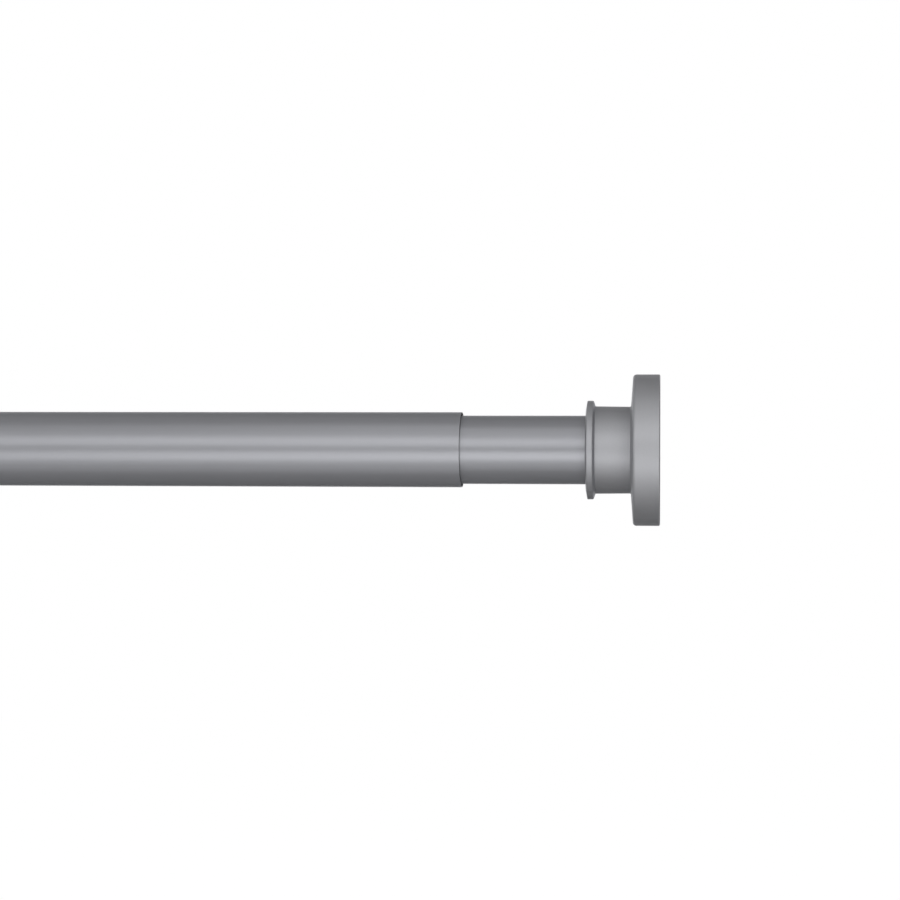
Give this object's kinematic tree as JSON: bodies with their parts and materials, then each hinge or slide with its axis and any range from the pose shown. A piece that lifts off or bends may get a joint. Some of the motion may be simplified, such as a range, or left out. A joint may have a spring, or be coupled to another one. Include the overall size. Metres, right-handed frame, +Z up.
{
  "type": "extendable shower curtain rod",
  "caption": "Telescoping satin aluminium shower curtain rod with a twist lock, turning in round screw-on wall flanges that snap over wall plates.",
  "frame": {"origin": "centre of the left wall plate's screw hole, on the plane of the left wall", "axes": "+X along the rod's axis from the left wall to the right wall, +Y into the page of the picture, +Z up"},
  "size_m": [0.784, 0.044, 0.044],
  "materials": {
    "outer_aluminium": "satin drawn and anodised",
    "inner_aluminium": "satin drawn and anodised",
    "silver_plastic": "satin silver-grey moulded",
    "plate_plastic": "plain moulded",
    "cap_plastic": "plain moulded",
    "bush_plastic": "black moulded",
    "plug_plastic": "black moulded",
    "expander_plastic": "natural moulded",
    "nut_plastic": "dark moulded",
    "zinc_steel": "bright zinc",
    "ring_rubber": "matt black"
  },
  "bodies": {
    "left_wall": {"left_wall_plate": "plate_plastic", "left_flange": "silver_plastic"},
    "outer": {"left_end_cap": "cap_plastic", "outer_tube": "outer_aluminium", "mouth_bush": "bush_plastic"},
    "expander": {"expander": "expander_plastic", "drag_ring": "ring_rubber"},
    "cone": {"cone_nut": "nut_plastic"},
    "inner": {"inner_tube": "inner_aluminium", "lock_plug": "plug_plastic", "lock_spindle": "zinc_steel", "spindle_stop": "zinc_steel", "right_end_cap": "cap_plastic"},
    "right_wall": {"right_flange": "silver_plastic", "right_wall_plate": "plate_plastic"}
  },
  "joints": [
    {"name": "left_turn", "type": "hinge", "parent": "left_wall", "child": "outer", "pos_m": [0, 0, 0], "axis": [1, 0, 0], "continuous": true},
    {"name": "extend", "type": "slide", "parent": "outer", "child": "expander", "axis": [1, 0, 0], "range_m": [-0.033, 0.4657]},
    {"name": "twist_lock", "type": "hinge", "parent": "expander", "child": "inner", "pos_m": [0, 0, 0], "axis": [-1, 0, 0], "range_deg": [0, 360]},
    {"name": "cone_travel", "type": "slide", "parent": "expander", "child": "cone", "axis": [1, 0, 0], "range_m": [0, 0.002]},
    {"name": "right_turn", "type": "hinge", "parent": "inner", "child": "right_wall", "pos_m": [0.78405, 0, 0], "axis": [1, 0, 0], "continuous": true}
  ],
  "couplings": [
    {"joint": "cone_travel", "follows": "twist_lock", "m_per_rad": 0.00031831}
  ]
}
